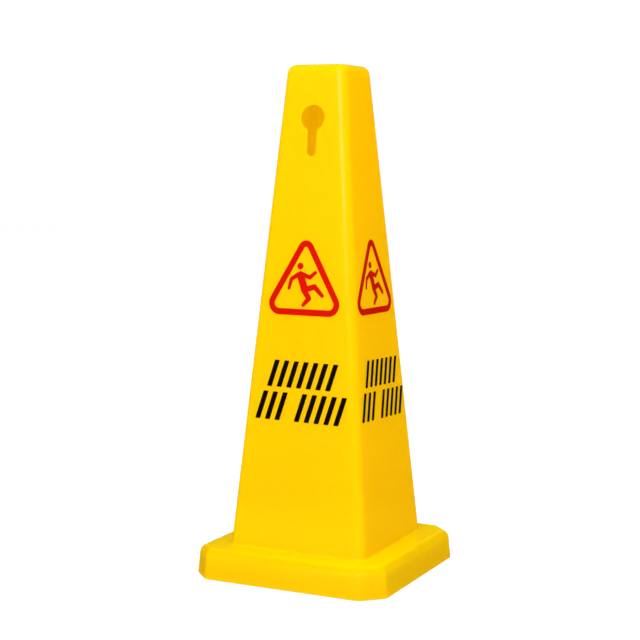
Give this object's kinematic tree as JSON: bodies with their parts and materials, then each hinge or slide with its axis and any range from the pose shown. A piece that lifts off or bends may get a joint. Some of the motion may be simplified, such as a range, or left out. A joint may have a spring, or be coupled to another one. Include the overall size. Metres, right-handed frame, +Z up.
{
  "type": "wet floor sign",
  "caption": "Tall four-sided tapered floor warning cone on a square weighted foot, with keyhole slots and a slip symbol and hazard bars on every face.",
  "frame": {"origin": "on the floor under the centre of the cone, in the plane of the undersides of the four rubber feet", "axes": "+Z up along the cone's centre line; -Y out of the front face, which has a keyhole; +X out of the right face"},
  "size_m": [0.268, 0.268, 0.654],
  "materials": {
    "shell_plastic": "safety yellow moulded polyethylene, smooth satin with a soft highlight",
    "cover_plastic": "safety yellow moulded polyethylene, fine matt texture",
    "symbol_print": "signal red print on an in-mould label, satin",
    "bars_print": "black print on an in-mould label, satin",
    "ballast_rubber": "recycled crumb rubber, coarse matt",
    "foot_rubber": "moulded rubber, matt",
    "screw_steel": "zinc-plated steel"
  },
  "bodies": {
    "root": {"cone_shell": "shell_plastic", "ballast_ring": "ballast_rubber", "base_cover": "cover_plastic", "cover_screw_front_left": "screw_steel", "cover_screw_front_right": "screw_steel", "cover_screw_right_left": "screw_steel", "cover_screw_right_right": "screw_steel", "cover_screw_back_left": "screw_steel", "cover_screw_back_right": "screw_steel", "cover_screw_left_left": "screw_steel", "cover_screw_left_right": "screw_steel", "rubber_foot_front_left": "foot_rubber", "rubber_foot_front_right": "foot_rubber", "rubber_foot_back_right": "foot_rubber", "rubber_foot_back_left": "foot_rubber", "slip_symbol_front": "symbol_print", "slip_symbol_right": "symbol_print", "slip_symbol_back": "symbol_print", "slip_symbol_left": "symbol_print", "hazard_bars_front": "bars_print", "hazard_bars_right": "bars_print", "hazard_bars_back": "bars_print", "hazard_bars_left": "bars_print"}
  },
  "joints": []
}
